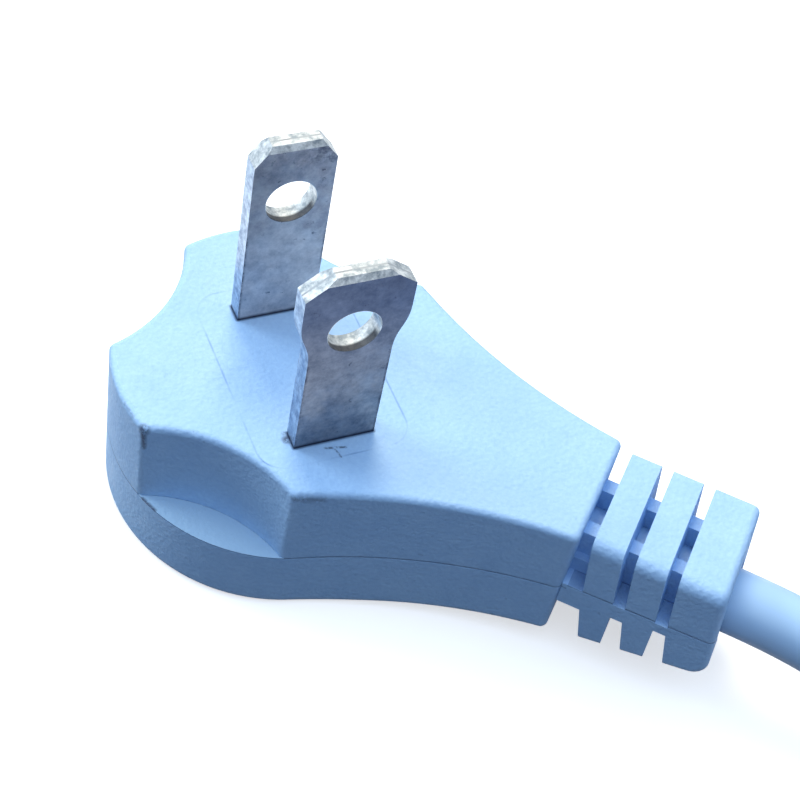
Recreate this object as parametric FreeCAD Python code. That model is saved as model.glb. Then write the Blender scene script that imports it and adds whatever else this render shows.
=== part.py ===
import FreeCAD, Part
import math
import os

from FreeCAD import Vector

# A flat two-pin plug of type A, moulded on a round cord that leaves it at 45 degrees.
# Row frame: X across the blades, Y from the wide blade to the narrow one, Z out of the mating face.
# The origin is on the mating face, midway between the blades. Sizes are in millimetres.
# The moulding is drawn in the cord's own frame, x along the cord and y across it, and then placed.

# Blades
BLADE_PITCH = 12.7
BLADE_T = 1.5
BLADE_W = 6.2
BLADE_L = 17.2
HOLE_R = 1.95
HOLE_Z = 11.8
TIP_BEVEL = 0.25
FLARE_FROM = 9.2
FLARE_TO = 13.4

# Tongues under the carrier, and crimps that point along the cord
TONGUE_W = 4.4
BEND_R = 0.5
CRIMP_WALL = 0.55
CRIMP_L = 3.0
GRIP_L = 1.5
GRIP_GAP = 0.5

# Each blade: place, tip, tongue's reach towards -Y, and where its crimp starts from the blade
NARROW = {"y": BLADE_PITCH / 2, "tip_w": BLADE_W, "corner": (1.25, 1.65), "side": 1}
NARROW.update({"reach": 3.0, "crimp": (1.7, 4.2)})
WIDE = {"y": -BLADE_PITCH / 2, "tip_w": 7.94, "corner": (2.1, 1.6), "side": -1}
WIDE.update({"reach": 1.6, "crimp": (2.6, 0.85)})

# Carrier that holds the blades at their pitch
CARRIER_X = 11.6
CARRIER_Y = 17.3
CARRIER_T = 6.0
CARRIER_CORNER_R = 2.0

# Outer moulding: head, finger scoops and neck
CORD_ANGLE = -45.0
CORD_SHIFT = 0.6
BODY_T = 14.0
HEAD_X = -1.4
HEAD_Y = 0.35
HEAD_R = 13.3
SCOOP_ANGLES = (90, 180, 270)
SCOOP_HALF_DEG = 26.6
SCOOP_INSET = 3.0
SCOOP_DEPTH = 7.9
SCOOP_DRAFT = 0.5
NECK_R = 45.0
NECK_END = 24.0
NECK_HALF = 5.2
RAMP_FROM = 8.0
RAMP_DEG = 6.8
RAMP_BLEND_R = 60.0
BLEND_LIFT = 0.3
TOP_EDGE_R = 0.5
BACK_EDGE_R = 0.8
SCOOP_EDGE_R = 0.6
NECK_CORNER_R = 0.6

# Strain relief: slotted above and below, with the cord seen in its slots
BOOT_HALF = 4.95
BOOT_DROP = 0.15
BOOT_SLOPE_DEG = 11.0
BOOT_EDGE_R = 1.0
BOOT_RIM_R = 0.6
BOOT_LOW_END_R = 1.5
PART_Z = -5.75
LEAN_DEG = 6.5
SLOT_W = 0.96
BAR_W = 2.35
BAR_COUNT = 2
END_BLOCK = 3.57
LOW_SLOT_DEPTH = 3.7
LOW_SLOT_FLARE = 0.3
LOW_SLOT_LIP_R = 0.6
SLEEVE_HALF = 2.75
SLEEVE_TOP = -2.0
SLEEVE_FLOOR = 0.5
WINDOW_HALF = 1.55
LEDGE_HALF = 3.4
LEDGE_TOP = -4.3
CORD_HOLE_R = 3.2
CORD_HOLE_DEPTH = 2.3

# Cord: sheath, two cores and their conductors
CORD_R = 2.5
CORD_Z = -6.0
SHEATH_START = 18.5
CORE_R = 0.975
CORE_GAP = 0.01
CONDUCTOR_R = 0.47
FILLER_R = 0.5
FILLER_OFFSET = 1.6
ARC_SHARE = 0.45

# Free cord, from the strain relief to its coil: past the boot, sideways and height above the surface
CORD_ROUTE = [
    (0.0, 0.0, BODY_T + CORD_Z),
    (5.0, 0.0, BODY_T + CORD_Z),
    (11.5, -0.8, 7.5),
    (17.3, -1.3, 6.4),
    (25.3, -1.1, 4.45),
    (31.7, -0.15, 3.4),
    (38.1, 1.35, 3.15),
    (44.4, 3.2, 3.15),
]
RUN_POINTS = 4
COIL_TURNS = 3
COIL_LAYERS = 2
COIL_INNER_R = 21.2
COIL_PITCH = 5.1
COIL_SLACK = 0.15

# Tie round the coil: the coil's turns rest on its band
TIE_T = 0.5
TIE_W = 3.6
TIE_ANGLE = 62.0
TIE_HEAD = (5.0, 5.6, 3.2)
TIE_HEAD_R = 0.8

# Cord's end, from the coil's outside: along, sideways and height above the surface
TAIL_BULGE = 1.8
TAIL_ROUTE = [
    (0.0, 0.0, 6.4),
    (6.0, 0.0, 5.75),
    (12.5, -0.3, 4.4),
    (19.0, -0.75, 3.0),
    (24.0, -1.2, 2.65),
]

# Two bared cores beyond it: along, sideways from the cord's axis and height above the surface
FAR_CORE_ROUTE = [
    (0.0, 0.98, 2.65),
    (3.5, 0.98, 2.65),
    (8.0, 1.9, 1.1),
    (12.5, 3.0, 1.0),
]
STRIPPED_L = 5.0

# Reach of the cutters, and the distance below which two places count as one
FAR = 60.0
SAME = 0.001

CORD_HALF_TURN = math.radians(CORD_ANGLE)
BOOT_END = NECK_END + (BAR_COUNT + 1) * SLOT_W + BAR_COUNT * BAR_W + END_BLOCK
TONGUE_TOP = -CARRIER_T - BEND_R
TONGUE_Z = TONGUE_TOP - BLADE_T / 2
FLOOR_Z = -BODY_T


def unit(vector):
    return vector * (1.0 / vector.Length)


def box(x, y, z):
    """Block between the two limits given on each axis."""
    return Part.makeBox(x[1] - x[0], y[1] - y[0], z[1] - z[0], Vector(x[0], y[0], z[0]))


def prism(outline, half_width):
    """Solid from an outline of (x, z) points, as wide as given on both sides of the cord."""
    corners = [Vector(x, -half_width, z) for x, z in outline]
    return Part.Face(Part.makePolygon(corners + corners[:1])).extrude(Vector(0, 2 * half_width, 0))


def rod(start, end, radius):
    return Part.makeCylinder(radius, (end - start).Length, start, end - start)


def fuse(shapes):
    return shapes[0].fuse(shapes[1:]).removeSplitter()


def line(start, end):
    return Part.LineSegment(start, end).toShape()


def arc(start, middle, end):
    return Part.Arc(start, middle, end).toShape()


def arc_about(centre, start, end):
    """The shorter arc between two points of a circle."""
    middle = centre + unit(start + end - centre * 2) * (start - centre).Length
    return arc(start, middle, end)


def edge_start(edge):
    return edge.firstVertex(True).Point


def edge_end(edge):
    return edge.lastVertex(True).Point


def placed(shape):
    """The shape, moved from the cord's frame into the row frame."""
    moved = shape.copy()
    moved.translate(Vector(0, CORD_SHIFT, 0))
    moved.rotate(Vector(0, 0, 0), Vector(0, 0, 1), CORD_ANGLE)
    return moved


def placed_point(point):
    x, y = point.x, point.y + CORD_SHIFT
    cos, sin = math.cos(CORD_HALF_TURN), math.sin(CORD_HALF_TURN)
    return Vector(x * cos - y * sin, x * sin + y * cos, point.z)


def cord_frame(point):
    """The row frame's point, seen in the cord's frame."""
    cos, sin = math.cos(CORD_HALF_TURN), math.sin(CORD_HALF_TURN)
    return Vector(point.x * cos + point.y * sin, point.y * cos - point.x * sin - CORD_SHIFT, point.z)


def corner_arc(before, corner, after):
    """Start, middle and end of the tangent arc at a corner of a route, with its radius."""
    into = unit(corner - before)
    out = unit(after - corner)
    half_turn = into.getAngle(out) / 2
    reach = ARC_SHARE * min((corner - before).Length, (after - corner).Length)
    radius = reach / math.tan(half_turn)
    middle = corner + unit(out - into) * (radius / math.cos(half_turn) - radius)
    return corner - into * reach, middle, corner + out * reach, radius


def route_wire(points):
    """Straight runs joined by tangent arcs."""
    edges = []
    start = points[0]
    for before, corner, after in zip(points, points[1:], points[2:]):
        arc_start, middle, arc_end, _ = corner_arc(before, corner, after)
        edges += [line(start, arc_start), arc(arc_start, middle, arc_end)]
        start = arc_end
    edges.append(line(start, points[-1]))
    return Part.Wire(edges)


def tube(points, radius):
    circle = Part.Circle(points[0], unit(points[1] - points[0]), radius).toShape()
    return route_wire(points).makePipeShell([Part.Wire(circle)], True, False)


# Blades

def blade_outline(kind):
    """Closed outline of a blade's broad side, from the bend under the carrier to the tip."""
    half, tip = BLADE_W / 2, kind["tip_w"] / 2
    inset, drop = kind["corner"]
    low, shoulder = TONGUE_TOP + BEND_R, BLADE_L - drop
    edges = []
    for side in (1, -1):
        low_p = Vector(side * half, 0, low)
        shoulder_p = Vector(side * tip, 0, shoulder)
        if tip > half:
            from_p = Vector(side * half, 0, FLARE_FROM)
            to_p = Vector(side * tip, 0, FLARE_TO)
            ease = Vector(0, 0, (FLARE_TO - FLARE_FROM) / 2)
            curve = Part.BezierCurve()
            curve.setPoles([from_p, from_p + ease, to_p - ease, to_p])
            edges += [line(low_p, from_p), curve.toShape(), line(to_p, shoulder_p)]
        else:
            edges.append(line(low_p, shoulder_p))
        edges.append(line(shoulder_p, Vector(side * (tip - inset), 0, BLADE_L)))
    edges.append(line(Vector(inset - tip, 0, BLADE_L), Vector(tip - inset, 0, BLADE_L)))
    edges.append(line(Vector(-half, 0, low), Vector(half, 0, low)))
    return Part.Wire(Part.__sortEdges__(edges))


def tip_cutter(tip_width, side):
    """Wedge that bevels the tip's edge on one broad side."""
    face_y = side * BLADE_T / 2
    half = tip_width / 2 + 1
    depth, rise = TIP_BEVEL, 2 * TIP_BEVEL
    corners = [
        Vector(-half, face_y, BLADE_L - rise),
        Vector(-half, face_y - side * depth, BLADE_L),
        Vector(-half, face_y - side * depth, BLADE_L + 1),
        Vector(-half, face_y + side, BLADE_L + 1),
        Vector(-half, face_y + side, BLADE_L - rise),
    ]
    return Part.Face(Part.makePolygon(corners + corners[:1])).extrude(Vector(2 * half, 0, 0))


def tongue(kind):
    """Tongue that is bent under the carrier towards -Y, with its bend."""
    half_t = BLADE_T / 2
    inner = BEND_R
    outer = BEND_R + BLADE_T
    y = kind["y"]
    centre = Vector(-TONGUE_W / 2, y - half_t - inner, TONGUE_TOP + inner)
    end_y = centre.y - kind["reach"]
    points = [
        Vector(centre.x, y - half_t, centre.z),
        Vector(centre.x, y + half_t, centre.z),
        Vector(centre.x, centre.y, centre.z - outer),
        Vector(centre.x, end_y, centre.z - outer),
        Vector(centre.x, end_y, centre.z - inner),
        Vector(centre.x, centre.y, centre.z - inner),
    ]
    edges = [
        line(points[0], points[1]),
        arc_about(centre, points[1], points[2]),
        line(points[2], points[3]),
        line(points[3], points[4]),
        line(points[4], points[5]),
        arc_about(centre, points[5], points[0]),
    ]
    return Part.Face(Part.Wire(edges)).extrude(Vector(TONGUE_W, 0, 0))


def crimp_start(kind):
    """Where a blade's crimp begins to hold its conductor, in the cord's frame."""
    x, back = kind["crimp"]
    return cord_frame(Vector(x, kind["y"] - back, TONGUE_Z))


def crimp(kind):
    """Barrel for the conductor and grip for the insulation, joined by a strip, in the cord's frame."""
    start = crimp_start(kind)
    root = start - Vector(BLADE_T, 0, 0)
    grip_start = start + Vector(CRIMP_L + GRIP_GAP, 0, 0)
    grip_end = grip_start + Vector(GRIP_L, 0, 0)
    grip_r = CORE_R + CRIMP_WALL
    strip = box(
        (root.x, grip_end.x),
        (start.y - CRIMP_WALL, start.y + CRIMP_WALL),
        (start.z - grip_r + CRIMP_WALL / 4, start.z - CONDUCTOR_R - CRIMP_WALL / 4),
    )
    barrel = rod(root, start + Vector(CRIMP_L, 0, 0), CONDUCTOR_R + CRIMP_WALL)
    return fuse([barrel, rod(grip_start, grip_end, grip_r), strip])


def crimp_holes(kind):
    """Room for the conductor in the barrel and for the insulation in its grip."""
    start = crimp_start(kind)
    barrel_end = start + Vector(CRIMP_L, 0, 0)
    grip_end = barrel_end + Vector(GRIP_GAP + GRIP_L, 0, 0)
    return [placed(rod(start, barrel_end, CONDUCTOR_R)), placed(rod(barrel_end, grip_end, CORE_R))]


def blade(kind):
    """One stamped blade with its hole, bevelled tip, bent tongue and crimp."""
    plate = Part.Face(blade_outline(kind)).extrude(Vector(0, BLADE_T, 0))
    plate.translate(Vector(0, -BLADE_T / 2, 0))
    hole = rod(Vector(0, -BLADE_T, HOLE_Z), Vector(0, BLADE_T, HOLE_Z), HOLE_R)
    plate = plate.cut([hole, tip_cutter(kind["tip_w"], 1), tip_cutter(kind["tip_w"], -1)])
    plate.translate(Vector(0, kind["y"], 0))
    return fuse([plate, tongue(kind), placed(crimp(kind))]).cut(crimp_holes(kind))


def carrier():
    block = box(
        (-CARRIER_X / 2, CARRIER_X / 2),
        (-CARRIER_Y / 2, CARRIER_Y / 2),
        (-CARRIER_T, 0),
    )
    upright = [e for e in block.Edges if abs(e.tangentAt(0).z) > 0.9]
    return block.makeFillet(CARRIER_CORNER_R, upright)


# Outer moulding

def meeting_point(centre_a, reach_a, centre_b, reach_b, side):
    """Point at given distances from two centres, on the left (1) or right (-1) of their line."""
    span = centre_b - centre_a
    along = (span.Length**2 + reach_a**2 - reach_b**2) / (2 * span.Length)
    aside = math.sqrt(reach_a**2 - along**2)
    forward = unit(span)
    return centre_a + forward * along + Vector(-forward.y, forward.x, 0) * (side * aside)


def toward(centre, point, radius):
    return centre + unit(point - centre) * radius


def head_centre(z):
    return Vector(HEAD_X, HEAD_Y, z)


def neck_side(side, z):
    """One side of the neck: its arc's centre, and where it leaves the head and ends."""
    end = Vector(NECK_END, side * NECK_HALF, z)
    centre = meeting_point(head_centre(z), HEAD_R + NECK_R, end, NECK_R, side)
    return centre, toward(head_centre(z), centre, HEAD_R), end


def neck_edges(z):
    """Outline of the neck, from where it leaves the head on one side to where it meets it again."""
    centre, touch, end = neck_side(1, z)
    near_centre, near_touch, near_end = neck_side(-1, z)
    return [
        arc_about(near_centre, near_touch, near_end),
        line(near_end, end),
        arc_about(centre, end, touch),
    ]


def plain_outline(z):
    """Head circle with a concave neck on each side, closed by the neck's flat end."""
    head = head_centre(z)
    neck = neck_edges(z)
    nose = head - Vector(HEAD_R, 0, 0)
    touch, near_touch = edge_end(neck[-1]), edge_start(neck[0])
    return Part.Wire([arc_about(head, touch, nose), arc_about(head, nose, near_touch)] + neck)


def scoop_radius():
    """Radius of the arc through a scoop's deepest point and its two corners on the head circle."""
    half_angle = math.radians(SCOOP_HALF_DEG)
    half_chord = HEAD_R * math.sin(half_angle)
    sag = HEAD_R * math.cos(half_angle) - (HEAD_R - SCOOP_INSET)
    return (half_chord**2 + sag**2) / (2 * sag)


def scoop_edges(angle, z):
    """One scoop's wall at a height: its hollow arc between two rounded corners on the head circle."""
    head = head_centre(z)
    turn = math.radians(angle)
    hollow_r = scoop_radius() + z * math.tan(math.radians(SCOOP_DRAFT))
    reach = HEAD_R - SCOOP_INSET + scoop_radius()
    hollow = head + Vector(math.cos(turn), math.sin(turn), 0) * reach
    corners = [
        meeting_point(head, HEAD_R - SCOOP_EDGE_R, hollow, hollow_r + SCOOP_EDGE_R, side)
        for side in (-1, 1)
    ]
    in_head, out_head = [toward(head, corner, HEAD_R) for corner in corners]
    in_hollow, out_hollow = [toward(hollow, corner, hollow_r) for corner in corners]
    return [
        arc_about(corners[0], in_head, in_hollow),
        arc_about(hollow, in_hollow, out_hollow),
        arc_about(corners[1], out_hollow, out_head),
    ]


def scooped_outline(z):
    """Outline of the head and neck at a height above the scoops' shelves."""
    head = head_centre(z)
    neck = neck_edges(z)
    edges = []
    at = edge_end(neck[-1])
    for angle in SCOOP_ANGLES:
        scoop = scoop_edges(angle, z)
        edges += [arc_about(head, at, edge_start(scoop[0]))] + scoop
        at = edge_end(scoop[-1])
    edges.append(arc_about(head, at, edge_start(neck[0])))
    return Part.Wire(edges + neck)


def back_height(x):
    """Height of the back, which slopes under the neck and more steeply under the strain relief."""
    neck_rise = max(0.0, min(x, NECK_END) - RAMP_FROM) * math.tan(math.radians(RAMP_DEG))
    return FLOOR_Z + neck_rise + max(0.0, x - NECK_END) * math.tan(math.radians(BOOT_SLOPE_DEG))


def under_back():
    """Everything below the sloping back, which leaves the flat part by a wide blend."""
    slope = math.radians(RAMP_DEG)
    reach = RAMP_BLEND_R * math.tan(slope / 2)
    start = Vector(RAMP_FROM - reach, -FAR, FLOOR_Z)
    end = Vector(RAMP_FROM + reach * math.cos(slope), -FAR, FLOOR_Z + reach * math.sin(slope))
    centre = start + Vector(0, 0, RAMP_BLEND_R)
    neck_end = Vector(NECK_END, -FAR, back_height(NECK_END))
    far_end = Vector(FAR, -FAR, back_height(FAR))
    far_low = Vector(FAR, -FAR, -FAR)
    near_low = Vector(start.x, -FAR, -FAR)
    edges = [
        arc_about(centre, start, end),
        line(end, neck_end),
        line(neck_end, far_end),
        line(far_end, far_low),
        line(far_low, near_low),
        line(near_low, start),
    ]
    return Part.Face(Part.Wire(edges)).extrude(Vector(0, 2 * FAR, 0))


def edges_at_height(shape, z):
    return [e for e in shape.Edges if abs(e.BoundBox.ZMin - z) + abs(e.BoundBox.ZMax - z) < SAME]


def rise(edge):
    return abs(edge_end(edge).z - edge_start(edge).z)


def edges_at_end(shape, x):
    """Edges that lie in the end face at the given distance along the cord."""
    return [e for e in shape.Edges if abs(edge_start(e).x - x) + abs(edge_end(e).x - x) < SAME]


def runs_across(edge):
    """Whether both ends of an edge are equally far along the cord."""
    return abs(edge_start(edge).x - edge_end(edge).x) < SAME


def back_rim(shape):
    """Edges between the back and the long walls."""
    found = []
    for edge in shape.Edges:
        ends = [edge_start(edge), edge_end(edge)]
        on_back = all(abs(p.z - back_height(p.x)) < BLEND_LIFT for p in ends)
        if on_back and not runs_across(edge):
            found.append(edge)
    return found


def round_neck_corners(shape):
    """Round the two upright corners at the neck's end."""
    end_edges = edges_at_end(shape, NECK_END)
    return shape.makeFillet(NECK_CORNER_R, [e for e in end_edges if rise(e) > NECK_CORNER_R])


def head_and_neck():
    """Lower part down to the back, and the part above the shelves with its three scoops."""
    shelf_z = -SCOOP_DEPTH
    lower = Part.Face(plain_outline(FLOOR_Z)).extrude(Vector(0, 0, BODY_T - SCOOP_DEPTH))
    lower = lower.cut(under_back())
    lower = round_neck_corners(lower.makeFillet(BACK_EDGE_R, back_rim(lower)))
    upper = round_neck_corners(Part.makeLoft([scooped_outline(shelf_z), scooped_outline(0)], True, True))
    upper = upper.makeFillet(TOP_EDGE_R, edges_at_height(upper, 0))
    return lower.fuse(upper)


def lean(z):
    """How far a wall of the strain relief has moved along the cord at a height."""
    return -z * math.tan(math.radians(LEAN_DEG))


def boot_block():
    """Outer form of the strain relief, before its slots."""
    top = -BOOT_DROP
    outline = [
        (NECK_END, FLOOR_Z),
        (BOOT_END + lean(FLOOR_Z), FLOOR_Z),
        (BOOT_END + lean(top), top),
        (NECK_END, top),
    ]
    block = prism(outline, BOOT_HALF)
    long_edges = [e for e in edges_at_height(block, top) if not runs_across(e)]
    block = block.makeFillet(BOOT_EDGE_R, long_edges).cut(under_back())
    low_end = [
        e for e in block.Edges
        if runs_across(e) and rise(e) < SAME and edge_start(e).x > BOOT_END and edge_start(e).z < PART_Z
    ]
    block = block.makeFillet(BOOT_LOW_END_R, low_end)
    return block.makeFillet(BOOT_RIM_R, back_rim(block))


def slot_start(index):
    return NECK_END + index * (SLOT_W + BAR_W)


def slot_walls(index, z):
    """Where a slot's two walls stand at a height. The first one's head side is the neck's upright end."""
    start = slot_start(index)
    left = start + lean(z) if index else NECK_END
    return left, start + SLOT_W + lean(z)


def slot_part(index, half_width, low, high):
    """Part of an upper slot between two heights."""
    low_left, low_right = slot_walls(index, low)
    high_left, high_right = slot_walls(index, high)
    return prism([(low_left, low), (low_right, low), (high_right, high), (high_left, high)], half_width)


def slot_lip(x, up, side):
    """Arc that rounds the edge between the back and a lower slot's wall, and the arc's two ends."""
    foot = Vector(x, -FAR, back_height(x))
    along = unit(Vector(side, 0, back_height(x + side) - back_height(x)))
    half_angle = up.getAngle(along) / 2
    reach = LOW_SLOT_LIP_R / math.tan(half_angle)
    middle = foot + unit(up + along) * (LOW_SLOT_LIP_R / math.sin(half_angle) - LOW_SLOT_LIP_R)
    on_wall = foot + up * reach
    on_back = foot + along * reach
    return arc(on_wall, middle, on_back), on_wall, on_back


def low_slot(index):
    """Cutter for one lower slot, which widens to a mouth with rounded lips."""
    mouth_z = back_height(slot_start(index) + SLOT_W / 2 + lean(FLOOR_Z))
    top_z = mouth_z + LOW_SLOT_DEPTH
    edges = []
    tops, lows = [], []
    for side, mouth_x, top_x in zip((-1, 1), slot_walls(index, mouth_z), slot_walls(index, top_z)):
        flare = side * LOW_SLOT_FLARE if index or side > 0 else 0.0
        top = Vector(top_x, -FAR, top_z)
        up = unit(top - Vector(mouth_x + flare, -FAR, mouth_z))
        lip, on_wall, on_back = slot_lip(mouth_x + flare, up, side)
        low = on_back - Vector(0, 0, LOW_SLOT_DEPTH)
        edges += [line(top, on_wall), lip, line(on_back, low)]
        tops.append(top)
        lows.append(low)
    edges += [line(*tops), line(*lows)]
    return Part.Face(Part.Wire(Part.__sortEdges__(edges))).extrude(Vector(0, 2 * FAR, 0))


def boot():
    """Strain relief: bars and blocks on two side rails, with a sleeve that is open over the cord."""
    block = boot_block()
    sleeve_low = CORD_Z - CORD_R - SLEEVE_FLOOR
    sleeve = box((NECK_END, BOOT_END), (-SLEEVE_HALF, SLEEVE_HALF), (sleeve_low, SLEEVE_TOP))
    ledge_end = NECK_END + SLOT_W + lean(PART_Z)
    ledge = box((NECK_END, ledge_end), (-LEDGE_HALF, LEDGE_HALF), (PART_Z, LEDGE_TOP))
    core = fuse([sleeve, ledge])
    cutters = []
    for index in range(BAR_COUNT + 1):
        gap = slot_part(index, FAR, PART_Z, 1.0)
        window = slot_part(index, WINDOW_HALF, CORD_Z, 1.0)
        cutters += [gap.cut(core), window, low_slot(index).cut(sleeve)]
    return block.cut(cutters)


def outer_mould():
    """The head, neck and strain relief as one moulding, before it is cut for what it holds."""
    solid = fuse([head_and_neck().cut(low_slot(0)), boot()])
    exit_start = Vector(BOOT_END - CORD_HOLE_DEPTH, 0, CORD_Z)
    cord_hole = rod(exit_start, Vector(BOOT_END + lean(FLOOR_Z), 0, CORD_Z), CORD_HOLE_R)
    return solid.cut(cord_hole)


# Cord inside the plug

def core_route(kind):
    """Path of one core, from its crimp to the strain relief's end, in the cord's frame."""
    start = crimp_start(kind) + Vector(CRIMP_L, 0, 0)
    straight = GRIP_GAP + GRIP_L + CORE_R
    offset = kind["side"] * (CORE_R + CORE_GAP / 2)
    return [
        start,
        start + Vector(straight, 0, 0),
        Vector(SHEATH_START - 2 * CORE_R, offset, CORD_Z),
        Vector(BOOT_END, offset, CORD_Z),
    ]


def inner_cord():
    """Sheath, fillers, and each core's insulation and conductor, in the cord's frame."""
    start = Vector(SHEATH_START, 0, CORD_Z)
    end = Vector(BOOT_END, 0, CORD_Z)
    aside = Vector(0, 0, FILLER_OFFSET)
    fillers = [rod(start + aside, end + aside, FILLER_R), rod(start - aside, end - aside, FILLER_R)]
    solids = {"sheath_fillers": Part.makeCompound(fillers)}
    cores = []
    for name, kind in (("narrow", NARROW), ("wide", WIDE)):
        route = core_route(kind)
        core = tube(route, CORE_R)
        bare = rod(crimp_start(kind), route[0], CONDUCTOR_R)
        conductor = fuse([bare, tube(route, CONDUCTOR_R)])
        cores.append(core)
        solids[name + "_core_insulation"] = core.cut(conductor)
        solids[name + "_conductor"] = conductor
    solids["sheath_in_plug"] = rod(start, end, CORD_R).cut(cores + fillers)
    return solids


# Free cord

def cord_points():
    """Route of the cord from the strain relief to where it touches the coil's outer turn."""
    return [placed_point(Vector(BOOT_END + x, y, FLOOR_Z + z)) for x, y, z in CORD_ROUTE]


def run_and_entry():
    """The route in two, parted midway along one of its straight runs."""
    points = cord_points()
    parting = (points[RUN_POINTS - 1] + points[RUN_POINTS]) * 0.5
    return points[:RUN_POINTS] + [parting], [parting] + points[RUN_POINTS:]


def outer_turn_r():
    return COIL_INNER_R + (COIL_TURNS - 1) * COIL_PITCH


def coil_centre():
    """Foot of the coil's axis, on the left of the cord that runs into its outer turn."""
    before, touch = cord_points()[-2:]
    heading = unit(touch - before)
    return Vector(touch.x, touch.y, FLOOR_Z) + Vector(-heading.y, heading.x, 0) * outer_turn_r()


def coil_section(centre, grow):
    """Rounded outline of the whole bundle of turns beside the coil's axis, grown all round."""
    corner_r = CORD_R + COIL_SLACK + grow
    left = centre.x + COIL_INNER_R - corner_r
    right = centre.x + outer_turn_r() + corner_r
    low = centre.z + TIE_T - grow
    high = low + 2 * (CORD_R * COIL_LAYERS + COIL_SLACK + grow)
    corners = []
    places = ((right, low, -1, 1), (right, high, -1, -1), (left, high, 1, -1), (left, low, 1, 1))
    for x, z, in_x, in_z in places:
        middle = Vector(x + in_x * corner_r, centre.y, z + in_z * corner_r)
        beside = Vector(x, centre.y, middle.z)
        across = Vector(middle.x, centre.y, z)
        start, end = (across, beside) if in_x * in_z < 0 else (beside, across)
        corners.append((middle, start, end))
    edges = []
    for (middle, start, end), (_, next_start, _) in zip(corners, corners[1:] + corners[:1]):
        edges += [arc_about(middle, start, end), line(end, next_start)]
    return Part.Face(Part.Wire(edges))


def tail_points():
    """Route of the cord's end, which leaves the coil's outside along +Y."""
    foot = coil_centre() + Vector(outer_turn_r() + TAIL_BULGE, 0, 0)
    return [foot + Vector(y, x, z) for x, y, z in TAIL_ROUTE]


def cord_coil():
    """The coil's outer shape, with the stretches of cord that enter and leave it."""
    centre = coil_centre()
    ring = coil_section(centre, 0).revolve(centre, Vector(0, 0, 1), 360)
    return fuse([ring, tube(run_and_entry()[1], CORD_R), tube(tail_points(), CORD_R)])


def coil_tie():
    """Closed band round the coil's turns, with its rounded lock on top."""
    centre = coil_centre()
    turn = math.degrees(TIE_W / (COIL_INNER_R + outer_turn_r()) * 2)
    band = coil_section(centre, TIE_T).cut(coil_section(centre, 0)).Faces[0]
    band = band.revolve(centre, Vector(0, 0, 1), turn)
    band.rotate(centre, Vector(0, 0, 1), TIE_ANGLE - turn / 2)
    top = centre.z + TIE_T + 2 * (CORD_R * COIL_LAYERS + COIL_SLACK)
    length, width, height = TIE_HEAD
    middle_r = (COIL_INNER_R + outer_turn_r()) / 2
    lock = box((-length / 2, length / 2), (-width / 2, width / 2), (0, height))
    lock = lock.makeFillet(TIE_HEAD_R, [e for e in lock.Edges if edge_start(e).z + edge_end(e).z > 0])
    lock.translate(Vector(centre.x + middle_r, centre.y, top))
    lock.rotate(centre, Vector(0, 0, 1), TIE_ANGLE)
    return fuse([band, lock])


def far_core(side):
    """Insulation and stripped conductor of one core at the cord's far end."""
    before, end = tail_points()[-2:]
    turn = math.atan2(end.y - before.y, end.x - before.x)
    along = Vector(math.cos(turn), math.sin(turn), 0)
    across = Vector(along.y, -along.x, 0)
    foot = Vector(end.x, end.y, FLOOR_Z)
    points = [foot + along * x + across * (side * y) + Vector(0, 0, z) for x, y, z in FAR_CORE_ROUTE]
    tip = points[-1] + unit(points[-1] - points[-2]) * STRIPPED_L
    conductor = fuse([tube(points, CONDUCTOR_R), rod(points[-1], tip, CONDUCTOR_R)])
    return tube(points, CORE_R).cut(conductor), conductor


def report_cord():
    """Print the arcs' radii and compare the tube's volume with its section times its length."""
    run, entry = run_and_entry()
    for name, points in (("run", run), ("entry", entry), ("tail", tail_points())):
        radii = [corner_arc(*triple)[3] for triple in zip(points, points[1:], points[2:])]
        length = route_wire(points).Length
        ratio = tube(points, CORD_R).Volume / (math.pi * CORD_R**2 * length)
        print("cord", name, "length", round(length, 2), "volume ratio", round(ratio, 4))
        print("arc radii", [round(r, 1) for r in radii])
        print("route", [[round(c, 3) for c in p] for p in points])
    print("coil centre", [round(c, 3) for c in coil_centre()])


def build():
    solids = {
        "narrow_blade": blade(NARROW),
        "wide_blade": blade(WIDE),
    }
    blades = list(solids.values())
    inner = {name: placed(shape) for name, shape in inner_cord().items()}
    solids["blade_carrier"] = carrier().cut(blades)
    held = blades + list(inner.values()) + [carrier()]
    solids["outer_mould"] = placed(outer_mould()).cut(held)
    solids.update(inner)
    solids["cord_run"] = tube(run_and_entry()[0], CORD_R)
    solids["cord_coil"] = cord_coil()
    solids["coil_tie"] = coil_tie()
    for name, side in (("a", 1), ("b", -1)):
        insulation, conductor = far_core(side)
        solids["far_end_insulation_" + name] = insulation
        solids["far_end_conductor_" + name] = conductor
    return solids


def main():
    os.makedirs("parts", exist_ok=True)
    for name, shape in build().items():
        pieces = shape.Solids
        whole = pieces[0] if len(pieces) == 1 else Part.makeCompound(pieces)
        whole.exportStep("parts/" + name + ".step")
        print(name, len(pieces), round(whole.Volume, 2), whole.isValid())
    report_cord()


main()
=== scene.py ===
import math

import bmesh
import bpy
from mathutils import Euler, Matrix, Vector


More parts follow.
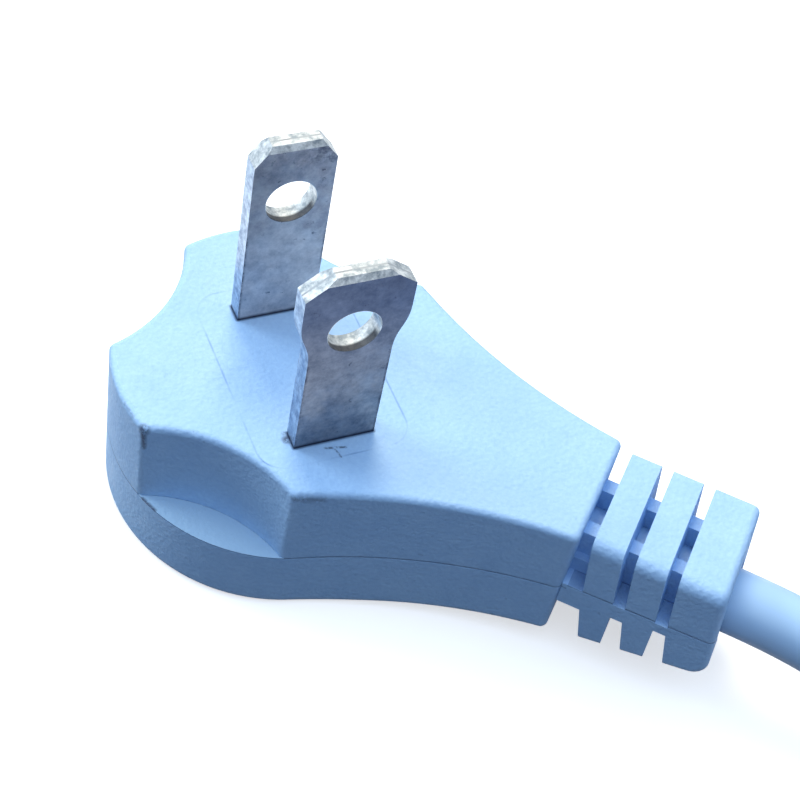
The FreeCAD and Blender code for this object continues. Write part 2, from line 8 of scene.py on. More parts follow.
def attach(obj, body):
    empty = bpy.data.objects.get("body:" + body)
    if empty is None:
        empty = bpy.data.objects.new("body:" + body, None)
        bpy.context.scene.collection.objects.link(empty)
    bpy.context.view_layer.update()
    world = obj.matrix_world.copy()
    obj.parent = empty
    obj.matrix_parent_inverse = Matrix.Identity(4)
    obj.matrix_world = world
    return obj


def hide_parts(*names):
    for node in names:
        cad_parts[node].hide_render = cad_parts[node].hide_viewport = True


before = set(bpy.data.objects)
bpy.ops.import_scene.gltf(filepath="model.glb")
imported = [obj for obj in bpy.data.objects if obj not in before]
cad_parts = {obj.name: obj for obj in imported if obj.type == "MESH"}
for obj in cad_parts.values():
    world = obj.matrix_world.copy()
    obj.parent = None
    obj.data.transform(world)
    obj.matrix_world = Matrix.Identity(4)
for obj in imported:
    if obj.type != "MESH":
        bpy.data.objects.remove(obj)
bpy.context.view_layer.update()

MM = 0.001

# Soft cool light of the surroundings: its colour, and its strength overhead and from all sides
FILL_COLOUR = (0.63, 0.79, 1.0, 1)
FILL_ABOVE = 1.9
FILL_BELOW = 0.0

# Sizes shared with the part's source, in millimetres
BODY_T = 14.0
CORD_R = 2.5
CORD_Z = -6.0
CORD_ANGLE = -45.0
CORD_SHIFT = 0.6
BLADE_PITCH = 12.7
BLADE_T = 1.5
BLADE_W = 6.2
BLADE_L = 17.2
HOLE_R = 1.95
HOLE_Z = 11.8
CARRIER = (11.6, 17.3, 2.0)
HEAD = (-1.4, 0.35, 13.3)
SCOOP_HALF_DEG = 26.6
NECK_END = 24.0
BOOT_END = 35.15
CORD_ROUTE = [
    (0.0, 0.0, BODY_T + CORD_Z),
    (5.0, 0.0, BODY_T + CORD_Z),
    (11.5, -0.8, 7.5),
    (17.3, -1.3, 6.4),
    (25.3, -1.1, 4.45),
    (31.7, -0.15, 3.4),
    (38.1, 1.35, 3.15),
    (44.4, 3.2, 3.15),
]
COIL_TURNS = 3
COIL_INNER_R = 21.2
COIL_PITCH = 5.1
LAYER_RISE = 5.0
TAIL_BULGE = 1.8
TAIL_ROUTE = [
    (0.0, 0.0, 6.4),
    (6.0, 0.0, 5.75),
    (12.5, -0.3, 4.4),
    (19.0, -0.75, 3.0),
    (24.0, -1.2, 2.65),
]
FAR_CORE_ROUTE = [
    (0.0, 0.98, 2.65),
    (3.5, 0.98, 2.65),
    (8.0, 1.9, 1.1),
    (12.5, 3.0, 1.0),
]
STRIPPED_L = 5.0
STRAND_COUNT = 7
STRAND_STEPS = 20
TURN_POINTS = 20
CORE_R = 0.975
CONDUCTOR_R = 0.47


def add_camera():
    data = bpy.data.cameras.new("view")
    data.sensor_width = 36.0
    data.lens = 78.87
    data.clip_start = 0.005
    data.clip_end = 20.0
    camera = bpy.data.objects.new("view", data)
    camera.location = Vector((-38.63, -76.43, 98.73)) * MM
    angles = [math.radians(a) for a in (39.767, -8.486, -21.95)]
    camera.rotation_euler = Euler(angles, "XYZ")
    bpy.context.scene.collection.objects.link(camera)
    bpy.context.scene.camera = camera


def cord_frame_point(x, y, z):
    """A point of the cord's own frame, in the row frame, in millimetres."""
    turn = math.radians(CORD_ANGLE)
    y += CORD_SHIFT
    return Vector((x * math.cos(turn) - y * math.sin(turn), x * math.sin(turn) + y * math.cos(turn), z))


def cord_points():
    return [cord_frame_point(BOOT_END + x, y, z - BODY_T) for x, y, z in CORD_ROUTE]


def outer_turn_r():
    return COIL_INNER_R + (COIL_TURNS - 1) * COIL_PITCH


def coil_centre():
    before, touch = cord_points()[-2:]
    heading = (touch - before).normalized()
    left = Vector((-heading.y, heading.x, 0))
    return Vector((touch.x, touch.y, -BODY_T)) + left * outer_turn_r()


def smooth_step(f):
    return f * f * (3 - 2 * f)


def coil_turn(turns):
    """Radius and height of the winding after a number of turns: in below, out above."""
    low = CORD_ROUTE[-1][2]
    outer = outer_turn_r()
    spiral = COIL_TURNS - 1
    whole = math.floor(turns)
    part = turns - whole
    if turns < spiral:
        return outer - COIL_PITCH * turns, low
    if whole == spiral:
        bulge = 1.95 * math.sin(math.pi * part) ** 0.8
        return COIL_INNER_R - bulge, low + LAYER_RISE * smooth_step(part)
    if turns < 2 * spiral + 1:
        return COIL_INNER_R + COIL_PITCH * (turns - COIL_TURNS), low + LAYER_RISE
    bulge = 1.95 * math.sin(math.pi * part) ** 0.8
    return outer + bulge, low + LAYER_RISE - LAYER_RISE * smooth_step(part)


def coil_points():
    """Points of the coil's turns, from where the cord reaches it to where its end leaves it."""
    centre = coil_centre()
    touch = cord_points()[-1] - Vector((centre.x, centre.y, 0))
    start = math.atan2(touch.y, touch.x)
    total = 2 * COIL_TURNS - 1 + (-start % (2 * math.pi)) / (2 * math.pi)
    count = round(total * TURN_POINTS)
    points = []
    for index in range(1, count):
        turns = total * index / count
        radius, height = coil_turn(turns)
        angle = start + turns * 2 * math.pi
        points.append(centre + Vector((radius * math.cos(angle), radius * math.sin(angle), height)))
    return points


def tail_points():
    foot = coil_centre() + Vector((outer_turn_r() + TAIL_BULGE, 0, 0))
    return [foot + Vector((y, x, z)) for x, y, z in TAIL_ROUTE]


def spline_object(name, points, radius, order=3, resolution=8):
    """Round tube along one smooth spline through the air of its control points."""
    data = bpy.data.curves.new(name, "CURVE")
    data.dimensions = "3D"
    data.resolution_u = resolution
    data.bevel_depth = 1.0
    data.bevel_resolution = 6
    data.use_fill_caps = True
    spline = data.splines.new("NURBS")
    spline.points.add(len(points) - 1)
    for point, place in zip(spline.points, points):
        point.co = (place.x * MM, place.y * MM, place.z * MM, 1.0)
        point.radius = radius * MM
    spline.order_u = order
    spline.use_endpoint_u = True
    obj = bpy.data.objects.new(name, data)
    bpy.context.scene.collection.objects.link(obj)
    return obj


def spline_length(obj):
    """Length of a curve's centre line, in metres."""
    depth = obj.data.bevel_depth
    obj.data.bevel_depth = 0
    mesh = bpy.data.meshes.new_from_object(obj)
    obj.data.bevel_depth = depth
    corners = [v.co.copy() for v in mesh.vertices]
    bpy.data.meshes.remove(mesh)
    return sum((b - a).length for a, b in zip(corners, corners[1:]))


def far_core_frame():
    """Foot, heading and side of the cord's end, for the bared cores."""
    before, end = tail_points()[-2:]
    along = Vector((end.x - before.x, end.y - before.y, 0)).normalized()
    return Vector((end.x, end.y, -BODY_T)), along, Vector((along.y, -along.x, 0))


def add_tube(shape, path, aside, upward, radius, sides=8):
    """Closed round tube along a path, in a frame that doesn't turn."""
    rings = []
    for place in path:
        ring = []
        for index in range(sides):
            angle = index * 2 * math.pi / sides
            offset = (aside * math.cos(angle) + upward * math.sin(angle)) * radius
            ring.append(shape.verts.new((place + offset) * MM))
        rings.append(ring)
    for low, high in zip(rings, rings[1:]):
        for index in range(sides):
            after = (index + 1) % sides
            shape.faces.new((low[index], low[after], high[after], high[index]))
    shape.faces.new(rings[0][::-1])
    shape.faces.new(rings[-1])


def add_strands(name, node, side):
    """Twisted tinned strands that stick out of one bared core."""
    foot, along, across = far_core_frame()
    route = [foot + along * x + across * (side * y) + Vector((0, 0, z)) for x, y, z in FAR_CORE_ROUTE]
    heading = (route[-1] - route[-2]).normalized()
    aside = heading.cross(Vector((0, 0, 1))).normalized()
    upward = aside.cross(heading)
    start = route[-1] - heading
    strand_r = CONDUCTOR_R / 3.1
    shape = bmesh.new()
    for index in range(STRAND_COUNT):
        ring_r = 0.0 if index == 0 else 2 * strand_r
        phase = index * 2 * math.pi / (STRAND_COUNT - 1)
        reach = STRIPPED_L + 1.0 - 0.12 * ((index * 5) % STRAND_COUNT)
        path = []
        for step in range(STRAND_STEPS + 1):
            share = step / STRAND_STEPS
            angle = phase + share * 2.2 * math.pi
            twist = (aside * math.cos(angle) + upward * math.sin(angle)) * ring_r
            path.append(start + heading * (reach * share) + twist)
        add_tube(shape, path, aside, upward, strand_r)
    bmesh.ops.recalc_face_normals(shape, faces=shape.faces)
    mesh = bpy.data.meshes.new(name)
    shape.to_mesh(mesh)
    shape.free()
    for face in mesh.polygons:
        face.use_smooth = len(face.vertices) == 4
    obj = bpy.data.objects.new(name, mesh)
    bpy.context.scene.collection.objects.link(obj)
    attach(obj, "root")
    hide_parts(node)
    return obj


def add_cord():
    points = cord_points() + coil_points() + tail_points()
    cord = spline_object("supply_cord", points, CORD_R)
    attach(cord, "root")
    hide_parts("cord_run", "cord_coil")
    tips = [add_strands("strands_" + n, "far_end_conductor_" + n, s) for n, s in (("a", 1), ("b", -1))]
    tuple(cord_points()[0] * MM)
    round(spline_length(cord), 3)
    print("cord length", spline_length(cord))
    return cord, tips


class Shader:
    """A node material under construction."""

    def __init__(self, name, **settings):
        self.material = bpy.data.materials.new(name)
        self.material.use_nodes = True
        self.tree = self.material.node_tree
        self.tree.nodes.clear()
        self.surface = self.node("ShaderNodeBsdfPrincipled", **settings)
        output = self.node("ShaderNodeOutputMaterial")
        self.tree.links.new(self.surface.outputs[0], output.inputs[0])
        self.place = self.node("ShaderNodeTexCoord").outputs["Object"]

    def node(self, kind, **settings):
        node = self.tree.nodes.new(kind)
        for key, value in settings.items():
            name = key.replace("_", " ")
            if name in node.inputs:
                self.feed(node.inputs[name], value)
            else:
                setattr(node, key, value)
        return node

    def feed(self, socket, value):
        if isinstance(value, bpy.types.NodeSocket):
            self.tree.links.new(value, socket)
        else:
            socket.default_value = value

    def math(self, operation, first, second=0.0, third=0.0, clamp=False):
        node = self.node("ShaderNodeMath", operation=operation, use_clamp=clamp)
        for socket, value in zip(node.inputs, (first, second, third)):
            self.feed(socket, value)
        return node.outputs[0]

    def noise(self, scale, detail=3.0, rough=0.55, place=None, dims="3D"):
        node = self.node("ShaderNodeTexNoise", noise_dimensions=dims, Vector=place or self.place)
        node.inputs["Scale"].default_value = scale
        node.inputs["Detail"].default_value = detail
        node.inputs["Roughness"].default_value = rough
        return node.outputs["Fac"]

    def ramp(self, value, low, high, out_low=0.0, out_high=1.0):
        node = self.node("ShaderNodeMapRange", clamp=True)
        limits = {"Value": value, "From Min": low, "From Max": high, "To Min": out_low, "To Max": out_high}
        for key, number in limits.items():
            self.feed(node.inputs[key], number)
        return node.outputs[0]

    def blend(self, share, first, second, mode="MIX"):
        node = self.node("ShaderNodeMix", data_type="RGBA", blend_type=mode)
        self.feed(node.inputs[0], share)
        self.feed(node.inputs[6], first)
        self.feed(node.inputs[7], second)
        return node.outputs[2]

    def bump(self, height, distance, strength=1.0, normal=None):
        node = self.node("ShaderNodeBump", Height=height, Distance=distance, Strength=strength)
        if normal is not None:
            self.feed(node.inputs["Normal"], normal)
        return node.outputs[0]

    def vector(self, operation, first, second):
        node = self.node("ShaderNodeVectorMath", operation=operation)
        self.feed(node.inputs[0], first)
        if operation == "SCALE":
            self.feed(node.inputs["Scale"], second)
        else:
            self.feed(node.inputs[1], second)
        return node.outputs["Value" if operation in ("DISTANCE", "DOT_PRODUCT") else "Vector"]

    def spot(self, place, radius):
        """1 at a place of the object, falling to 0 at a radius, in millimetres."""
        distance = self.vector("DISTANCE", self.place, tuple(place * MM))
        return self.ramp(distance, 0.0, radius * MM, 1.0, 0.0)

    def stroke(self, start, end, radius):
        """1 on the line between two places, falling to 0 at a radius, in millimetres."""
        span = (end - start) * MM
        from_start = self.vector("SUBTRACT", self.place, tuple(start * MM))
        share = self.vector("DOT_PRODUCT", from_start, tuple(span / span.length_squared))
        share = self.ramp(share, 0.0, 1.0)
        nearest = self.vector("SCALE", tuple(span), share)
        distance = self.vector("DISTANCE", from_start, nearest)
        return self.ramp(distance, 0.0, radius * MM, 1.0, 0.0)

    def cells(self, scale, smooth=0.6):
        node = self.node("ShaderNodeTexVoronoi", feature="SMOOTH_F1", Vector=self.place)
        node.inputs["Scale"].default_value = scale
        node.inputs["Smoothness"].default_value = smooth
        return node.outputs["Distance"]

    def product(self, *values):
        result = values[0]
        for value in values[1:]:
            result = self.math("MULTIPLY", result, value)
        return result

    def most(self, *values):
        result = values[0]
        for value in values[1:]:
            result = self.math("MAXIMUM", result, value)
        return result

    def facing(self):
        """The surface's direction in the object's own frame."""
        node = self.tree.nodes.new("ShaderNodeTexCoord")
        return self.node("ShaderNodeSeparateXYZ", Vector=node.outputs["Normal"]).outputs

    def flat_place(self):
        """The place with its distance across the blades left out."""
        flat = self.node("ShaderNodeVectorMath", operation="MULTIPLY")
        self.feed(flat.inputs[0], self.place)
        self.feed(flat.inputs[1], (1.0, 0.0, 1.0))
        return flat.outputs[0]

    def axes(self):
        return self.node("ShaderNodeSeparateXYZ", Vector=self.place).outputs

    def set(self, **sockets):
        for key, value in sockets.items():
            self.feed(self.surface.inputs[key.replace("_", " ")], value)
        return self


def rgb(red, green, blue):
    """Display colour in 0 to 255, as a linear colour."""
    def linear(value):
        share = value / 255
        return share / 12.92 if share <= 0.04045 else ((share + 0.055) / 1.055) ** 2.4
    return (linear(red), linear(green), linear(blue), 1.0)


def head_point(degrees, z):
    """A place on the head's round wall, in the row frame."""
    turn = math.radians(degrees)
    x, y, radius = HEAD
    return cord_frame_point(x + radius * math.cos(turn), y + radius * math.sin(turn), z)


def cord_axes(shader):
    """Distance along the cord and across it, and height."""
    x, y, z = shader.axes()
    along = shader.math("MULTIPLY", shader.math("SUBTRACT", x, y), math.sqrt(0.5))
    across = shader.math("MULTIPLY", shader.math("ADD", x, y), math.sqrt(0.5))
    return along, shader.math("SUBTRACT", across, CORD_SHIFT * MM), z


def parting_distance(shader):
    """Distance from the mould's parting line, which rises along the neck and steps up at the boot."""
    along, _, z = cord_axes(shader)
    neck = shader.ramp(along, 4.6 * MM, NECK_END * MM, -7.96 * MM, -6.2 * MM)
    boot = shader.ramp(along, NECK_END * MM, BOOT_END * MM, -5.82 * MM, -5.45 * MM)
    at_boot = shader.math("GREATER_THAN", along, (NECK_END + 0.4) * MM)
    height = shader.math("ADD", neck, shader.math("MULTIPLY", at_boot, shader.math("SUBTRACT", boot, neck)))
    return shader.math("ABSOLUTE", shader.math("SUBTRACT", z, height))


def box_distance(shader, centre, width, depth, corner):
    """Distance from an upright rounded rectangle's outline in the mating face's plane."""
    x, y, _ = shader.axes()
    parts = []
    for value, middle, size in ((x, centre[0], width), (y, centre[1], depth)):
        off = shader.math("ABSOLUTE", shader.math("SUBTRACT", value, middle * MM))
        inner = shader.math("SUBTRACT", off, (size / 2 - corner) * MM)
        parts.append(shader.math("MAXIMUM", inner, 0.0))
    squares = [shader.math("MULTIPLY", part, part) for part in parts]
    reach = shader.math("SQRT", shader.math("ADD", *squares))
    return shader.math("ABSOLUTE", shader.math("SUBTRACT", reach, corner * MM))


def scuff_marks(shader):
    """Dark rubbed places: the scoop's corners and rim, a scratch by the wide blade, and dirt at its foot."""
    left = -90 - SCOOP_HALF_DEG
    right = -90 + SCOOP_HALF_DEG
    marks = [
        (shader.stroke(head_point(left, 0.0), head_point(left + 1.0, -2.2), 0.42), 0.95),
        (shader.spot(head_point(left, -0.25), 0.8), 0.9),
        (shader.stroke(head_point(left - 6.0, -0.1), head_point(left - 12.0, -0.1), 0.3), 0.6),
        (shader.stroke(head_point(left + 2.0, -7.9), head_point(left + 8.0, -7.9), 0.3), 0.7),
        (shader.stroke(head_point(right + 1.0, -0.5), head_point(right + 9.0, -0.6), 0.75), 0.42),
        (shader.stroke(Vector((-0.9, -7.65, 0)), Vector((0.6, -7.95, 0)), 0.16), 0.75),
        (shader.stroke(Vector((-0.25, -7.8, 0)), Vector((-0.05, -8.7, 0)), 0.14), 0.6),
        (shader.spot(Vector((-3.3, -6.2, 0)), 0.55), 0.9),
        (shader.spot(Vector((-3.35, -5.6, 0)), 0.3), 0.7),
    ]
    patchy = shader.ramp(shader.noise(2600.0, 4.0, 0.7), 0.36, 0.52)
    shares = [shader.product(mask, share) for mask, share in marks]
    return shader.product(shader.ramp(shader.most(*shares), 0.12, 0.6), patchy)


def seat_shade(shader):
    """Thin dark seat line round each blade's foot."""
    lines = []
    for side in (1, -1):
        distance = box_distance(shader, (0, side * BLADE_PITCH / 2), BLADE_W, BLADE_T, 0.01)
        lines.append(shader.ramp(distance, 0.03 * MM, 0.2 * MM, 1.0, 0.0))
    _, _, z = shader.axes()
    return shader.product(shader.most(*lines), shader.math("GREATER_THAN", z, -0.3 * MM))


def mould_bump(shader, line):
    """Leathery moulded grain, coarser on the strain relief's folds, with the parting line's groove."""
    along, across, _ = cord_axes(shader)
    grain = shader.math("ADD", shader.noise(3600.0, 3.0, 0.6), shader.cells(2900.0))
    folds = shader.math("MULTIPLY", shader.noise(1700.0, 3.0, 0.6), 1.3)
    on_boot = shader.ramp(along, 23.0 * MM, 26.0 * MM)
    by_fold = shader.ramp(across, -1.5 * MM, -4.4 * MM)
    height = shader.math("ADD", grain, shader.product(folds, shader.product(on_boot, by_fold)))
    height = shader.math("SUBTRACT", height, shader.math("MULTIPLY", line, 1.6))
    return shader.bump(height, 0.05 * MM, 0.7)


def mould_material():
    shader = Shader("mould_pvc", Roughness=0.52, IOR=1.5, Specular_IOR_Level=0.12)
    cloud = shader.ramp(shader.noise(150.0, 5.0, 0.6), 0.34, 0.68)
    colour = shader.blend(cloud, rgb(169, 206, 245), rgb(178, 214, 250))
    smudges = [shader.spot(Vector(p), 3.4) for p in ((-11.0, 1.8, 0), (-5.2, 1.0, 0), (10.5, -2.0, 0))]
    smudge = shader.product(shader.most(*smudges), shader.ramp(shader.noise(420.0, 5.0, 0.7), 0.45, 0.7))
    grime = shader.ramp(shader.noise(330.0, 6.0, 0.7), 0.57, 0.8, 0.0, 0.22)
    colour = shader.blend(shader.most(grime, shader.product(smudge, 0.3)), colour, rgb(128, 164, 208))
    pores = shader.ramp(shader.noise(2500.0, 3.0, 0.6), 0.36, 0.62, 0.16, 0.0)
    colour = shader.blend(pores, colour, rgb(128, 168, 222))
    _, _, z = shader.axes()
    # Painted light: the scoop's low, upward-facing shelf, which its walls shade, is lifted towards a pale
    # blue.
    shelf_painted_light = shader.product(shader.math("LESS_THAN", z, -7.4 * MM), shader.ramp(shader.facing()[2], 0.8, 0.95))
    colour = shader.blend(shader.product(shelf_painted_light, 0.75), colour, rgb(206, 238, 255))
    specks = shader.ramp(shader.noise(1500.0, 2.0, 0.5), 0.74, 0.8, 0.0, 0.3)
    colour = shader.blend(specks, colour, rgb(96, 122, 168))
    line = shader.ramp(parting_distance(shader), 0.03 * MM, 0.12 * MM, 1.0, 0.0)
    colour = shader.blend(shader.product(line, 0.5), colour, rgb(64, 92, 142))
    on_face = shader.math("GREATER_THAN", z, -0.2 * MM)
    edge = box_distance(shader, (0, 0), CARRIER[0], CARRIER[1], CARRIER[2])
    patchy = shader.ramp(shader.noise(210.0, 3.0, 0.5), 0.42, 0.6, 0.05, 0.5)
    join = shader.product(shader.ramp(edge, 0.02 * MM, 0.11 * MM, 1.0, 0.0), on_face, patchy)
    colour = shader.blend(join, colour, rgb(96, 130, 182))
    colour = shader.blend(shader.product(seat_shade(shader), 0.8), colour, rgb(44, 58, 92))
    colour = shader.blend(shader.product(scuff_marks(shader), 0.8), colour, rgb(58, 62, 86))
    shader.set(Base_Color=colour, Normal=mould_bump(shader, line))
    shader.set(Roughness=shader.ramp(shader.noise(900.0), 0.3, 0.7, 0.46, 0.6))
    return shader.material


def sheath_material():
    shader = Shader("sheath_pvc", Roughness=0.36, IOR=1.5, Specular_IOR_Level=0.16)
    cloud = shader.noise(90.0, 3.0, 0.5)
    colour = shader.blend(cloud, rgb(175, 210, 246), rgb(182, 216, 250))
    fine = shader.noise(1500.0, 2.0, 0.5)
    shader.set(Base_Color=colour, Normal=shader.bump(fine, 0.01 * MM, 0.3))
    shader.set(Roughness=shader.ramp(shader.noise(400.0), 0.3, 0.7, 0.32, 0.42))
    return shader.material


def blade_colour(shader, side):
    """Nickel plate with mottle, stains, dark edges and specks. Over this lies painted reflection that makes
    each face darker and bluer towards the tip, painted light on the narrow sides mixed with wear, a painted
    highlight on the silvery tip and the bright hole, and painted shade in the hole and at the foot.
    """
    x, y, z = shader.axes()
    nx, ny, nz = shader.facing()
    across = shader.math("SUBTRACT", y, side * BLADE_PITCH / 2 * MM)
    mottle = shader.ramp(shader.noise(640.0, 7.0, 0.75), 0.36, 0.66)
    # Painted reflection: each blade gets its own lighter or darker copy of the nickel, and each face grows
    # darker and bluer towards the tip. The mottle within is the plate's own tone.
    if side > 0:
        low = shader.blend(mottle, rgb(176, 170, 172), rgb(222, 214, 212))
        high = shader.blend(mottle, rgb(122, 122, 132), rgb(168, 166, 170))
    else:
        low = shader.blend(mottle, rgb(112, 118, 130), rgb(160, 164, 172))
        high = shader.blend(mottle, rgb(62, 74, 100), rgb(90, 102, 128))
    colour = shader.blend(shader.ramp(z, 4 * MM, 14 * MM), low, high)
    stain = shader.product(shader.ramp(z, 14.8 * MM, 15.6 * MM), shader.ramp(x, -1.0 * MM, 1.5 * MM))
    patchy = shader.ramp(shader.noise(900.0, 5.0, 0.75), 0.4, 0.6)
    amount = 0.75 if side > 0 else 0.25
    colour = shader.blend(shader.product(stain, patchy, amount), colour, rgb(48, 52, 70))
    edge = shader.ramp(shader.math("ABSOLUTE", x), (BLADE_W / 2 - 0.22) * MM, (BLADE_W / 2 - 0.06) * MM)
    straight = shader.math("LESS_THAN", z, 9.0 * MM)
    colour = shader.blend(shader.product(edge, straight, patchy, 0.8), colour, rgb(40, 46, 68))
    specks = shader.ramp(shader.noise(1900.0, 3.0, 0.6), 0.66, 0.74, 0.0, 0.7)
    colour = shader.blend(specks, colour, rgb(44, 50, 70))
    worn = shader.ramp(shader.noise(1300.0, 4.0, 0.7), 0.38, 0.62)
    # Wear and painted light: faces turned sideways get a lighter blue with a painted reflection in its tint,
    # varied by wear.
    flank_wear_and_painted_light = shader.blend(worn, rgb(112, 132, 162), rgb(176, 196, 216))
    colour = shader.blend(shader.ramp(shader.math("ABSOLUTE", nx), 0.75, 0.9), colour, flank_wear_and_painted_light)
    # Painted highlight: upward-facing tip faces take a bright silver, varied by wear.
    silver_painted_highlight = shader.blend(worn, rgb(138, 150, 160), rgb(212, 219, 223))
    colour = shader.blend(shader.ramp(nz, 0.3, 0.42), colour, silver_painted_highlight)
    middle = shader.ramp(shader.math("ABSOLUTE", across), 0.04 * MM, 0.11 * MM, 0.75, 0.0)
    land = shader.product(middle, shader.ramp(nz, 0.55, 0.7), worn)
    colour = shader.blend(land, colour, rgb(92, 98, 112))
    # Painted highlight on the hole's inner wall, with painted shade on its lower near side.
    from_axis = shader.vector("DISTANCE", shader.flat_place(), (0.0, 0.0, HOLE_Z * MM))
    in_hole = shader.math("LESS_THAN", from_axis, (HOLE_R + 0.03) * MM)
    colour = shader.blend(in_hole, colour, silver_painted_highlight)
    hole_painted_shade_side = shader.ramp(across, -0.12 * MM, -0.3 * MM)
    lower = shader.ramp(z, (HOLE_Z - 0.3) * MM, (HOLE_Z - 1.0) * MM)
    colour = shader.blend(shader.product(in_hole, hole_painted_shade_side, lower, 0.9), colour, rgb(34, 38, 50))
    # Painted shade: the blade darkens at its foot, where it meets the mould.
    foot = shader.ramp(z, 0.1 * MM, 0.35 * MM, 0.85, 0.0)
    return shader.blend(foot, colour, rgb(38, 46, 72))


def blade_material(name, side):
    shader = Shader(name, Metallic=0.9, Roughness=0.35)
    shader.set(Base_Color=blade_colour(shader, side))
    plain = shader.ramp(shader.noise(700.0, 4.0), 0.3, 0.7, 0.3, 0.48)
    at_tip = shader.ramp(shader.facing()[2], 0.3, 0.42)
    shader.set(Roughness=shader.math("MAXIMUM", plain, shader.math("MULTIPLY", at_tip, 0.62)))
    shader.set(Metallic=shader.ramp(shader.facing()[2], 0.3, 0.42, 0.9, 0.55))
    pits = shader.math("ADD", shader.noise(1900.0, 4.0, 0.65), shader.noise(500.0, 2.0, 0.5))
    shader.set(Normal=shader.bump(pits, 0.012 * MM, 0.5))
    return shader.material


def plain_plastic(name, first, second, rough):
    shader = Shader(name, Roughness=rough, IOR=1.5)
    colour = shader.blend(shader.noise(300.0), rgb(*first), rgb(*second))
    shader.set(Base_Color=colour, Normal=shader.bump(shader.noise(2000.0), 0.01 * MM, 0.4))
    return shader.material


def strand_material():
    shader = Shader("tinned_strands", Metallic=1.0, Roughness=0.3)
    colour = shader.blend(shader.noise(900.0), rgb(196, 190, 184), rgb(222, 214, 205))
    shader.set(Base_Color=colour, Normal=shader.bump(shader.noise(3000.0), 0.01 * MM, 0.3))
    return shader.material


def filler_material():
    shader = Shader("filler_fibre", Roughness=0.85)
    colour = shader.blend(shader.noise(2500.0, 4.0, 0.7), rgb(214, 206, 186), rgb(240, 234, 218))
    shader.set(Base_Color=colour, Normal=shader.bump(shader.noise(4000.0), 0.05 * MM, 0.8))
    return shader.material


def paint(obj, material):
    obj.data.materials.clear()
    obj.data.materials.append(material)


def paint_node(name, material):
    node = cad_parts[name]
    if not node.material_slots:
        node.data.materials.append(material)
    for slot in node.material_slots:
        slot.link = "OBJECT"
        slot.material = material


def floor_material():
    """White floor that keeps the shadow, shows white to the camera and in reflections, and bounces little."""
    material = bpy.data.materials.new("studio_floor")
    material.use_nodes = True
    tree = material.node_tree
    tree.nodes.clear()
    output = tree.nodes.new("ShaderNodeOutputMaterial")
    diffuse = tree.nodes.new("ShaderNodeBsdfDiffuse")
    glow = tree.nodes.new("ShaderNodeEmission")
    seen = seen_directly(tree)
    shade = tree.nodes.new("ShaderNodeMix")
    shade.data_type = "RGBA"
    shade.inputs[6].default_value = (0.02, 0.035, 0.07, 1)
    shade.inputs[7].default_value = (0.8, 0.8, 0.8, 1)
    tree.links.new(seen, shade.inputs[0])
    tree.links.new(shade.outputs[2], diffuse.inputs["Color"])
    level = tree.nodes.new("ShaderNodeMath")
    level.operation = "MULTIPLY"
    level.inputs[1].default_value = 0.6
    tree.links.new(seen, level.inputs[0])
    tree.links.new(level.outputs[0], glow.inputs["Strength"])
    both = tree.nodes.new("ShaderNodeAddShader")
    tree.links.new(diffuse.outputs[0], both.inputs[0])
    tree.links.new(glow.outputs[0], both.inputs[1])
    tree.links.new(both.outputs[0], output.inputs["Surface"])
    return material


def add_floor():
    mesh = bpy.data.meshes.new("studio_floor")
    shape = bmesh.new()
    bmesh.ops.create_grid(shape, x_segments=1, y_segments=1, size=3.0)
    shape.to_mesh(mesh)
    shape.free()
    floor = bpy.data.objects.new("studio_floor", mesh)
    floor.location.z = -BODY_T * MM
    bpy.context.scene.collection.objects.link(floor)
    paint(floor, floor_material())


def seen_directly(tree):
    """1 for what the camera sees, also through glass or in a reflection, else 0."""
    path = tree.nodes.new("ShaderNodeLightPath")
    total = path.outputs["Is Camera Ray"]
    for name in ("Is Glossy Ray", "Is Transmission Ray"):
        either = tree.nodes.new("ShaderNodeMath")
        either.operation = "MAXIMUM"
        tree.links.new(total, either.inputs[0])
        tree.links.new(path.outputs[name], either.inputs[1])
        total = either.outputs[0]
    return total


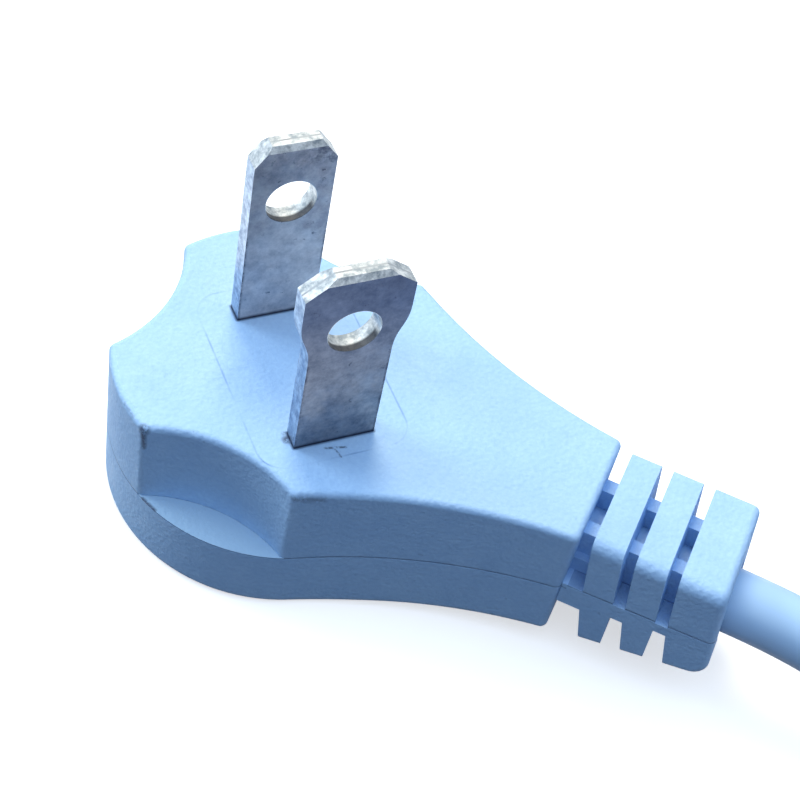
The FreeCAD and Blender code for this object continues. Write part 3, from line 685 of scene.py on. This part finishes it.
def add_world():
    """White to the camera and in reflections, and a soft cool fill that comes mostly from above."""
    world = bpy.data.worlds.new("studio")
    bpy.context.scene.world = world
    world.use_nodes = True
    tree = world.node_tree
    tree.nodes.clear()
    output = tree.nodes.new("ShaderNodeOutputWorld")
    fill = tree.nodes.new("ShaderNodeBackground")
    fill.inputs["Color"].default_value = FILL_COLOUR
    place = tree.nodes.new("ShaderNodeTexCoord")
    axes = tree.nodes.new("ShaderNodeSeparateXYZ")
    tree.links.new(place.outputs["Generated"], axes.inputs[0])
    above = tree.nodes.new("ShaderNodeMath")
    above.operation = "MAXIMUM"
    tree.links.new(axes.outputs[2], above.inputs[0])
    above.inputs[1].default_value = 0.0
    square = tree.nodes.new("ShaderNodeMath")
    square.operation = "POWER"
    tree.links.new(above.outputs[0], square.inputs[0])
    square.inputs[1].default_value = 2.0
    level = tree.nodes.new("ShaderNodeMath")
    level.operation = "MULTIPLY_ADD"
    tree.links.new(square.outputs[0], level.inputs[0])
    level.inputs[1].default_value = FILL_ABOVE
    level.inputs[2].default_value = FILL_BELOW
    tree.links.new(level.outputs[0], fill.inputs["Strength"])
    white = tree.nodes.new("ShaderNodeBackground")
    white.inputs["Color"].default_value = (1, 1, 1, 1)
    pick = tree.nodes.new("ShaderNodeMixShader")
    tree.links.new(seen_directly(tree), pick.inputs[0])
    tree.links.new(fill.outputs[0], pick.inputs[1])
    tree.links.new(white.outputs[0], pick.inputs[2])
    tree.links.new(pick.outputs[0], output.inputs["Surface"])


def add_lamp(name, place, target, size, watts, colour):
    data = bpy.data.lights.new(name, "AREA")
    data.shape = "DISK"
    data.size = size
    data.energy = watts
    data.color = colour
    lamp = bpy.data.objects.new(name, data)
    lamp.location = place
    lamp.rotation_euler = (Vector(target) - Vector(place)).to_track_quat("-Z", "Y").to_euler()
    bpy.context.scene.collection.objects.link(lamp)


def add_lamps():
    add_lamp("key", (0.19, 0.76, 1.09), (0.02, 0, 0), 0.6, 12.3, (1.0, 0.84, 0.6))
    add_lamp("side", (-0.8, 0.84, 0.6), (0.0, 0, 0), 0.7, 8.8, (0.82, 0.93, 1.0))


add_camera()
cord, strands = add_cord()

mould = mould_material()
sheath = sheath_material()
# Painted light: the narrow and wide blades are lit and shaded copies of one nickel.
narrow = blade_material("nickel_narrow", 1)
wide = blade_material("nickel_wide", -1)
core_black = plain_plastic("core_black", (52, 50, 50), (64, 61, 60), 0.4)
core_white = plain_plastic("core_white", (222, 222, 217), (234, 233, 228), 0.4)
nylon = plain_plastic("tie_nylon", (214, 217, 216), (228, 230, 228), 0.45)
tinned = strand_material()
filler = filler_material()

MATERIALS = {
    "outer_mould": mould,
    "blade_carrier": mould,
    "narrow_blade": narrow,
    "wide_blade": wide,
    "sheath_in_plug": sheath,
    "cord_run": sheath,
    "cord_coil": sheath,
    "sheath_fillers": filler,
    "narrow_core_insulation": core_black,
    "wide_core_insulation": core_white,
    "narrow_conductor": tinned,
    "wide_conductor": tinned,
    "far_end_insulation_a": core_black,
    "far_end_insulation_b": core_white,
    "far_end_conductor_a": tinned,
    "far_end_conductor_b": tinned,
    "coil_tie": nylon,
}
for name, material in MATERIALS.items():
    paint_node(name, material)
paint(cord, sheath)
for tip in strands:
    paint(tip, tinned)

add_floor()
add_world()
add_lamps()
bpy.context.scene.view_settings.view_transform = "Standard"
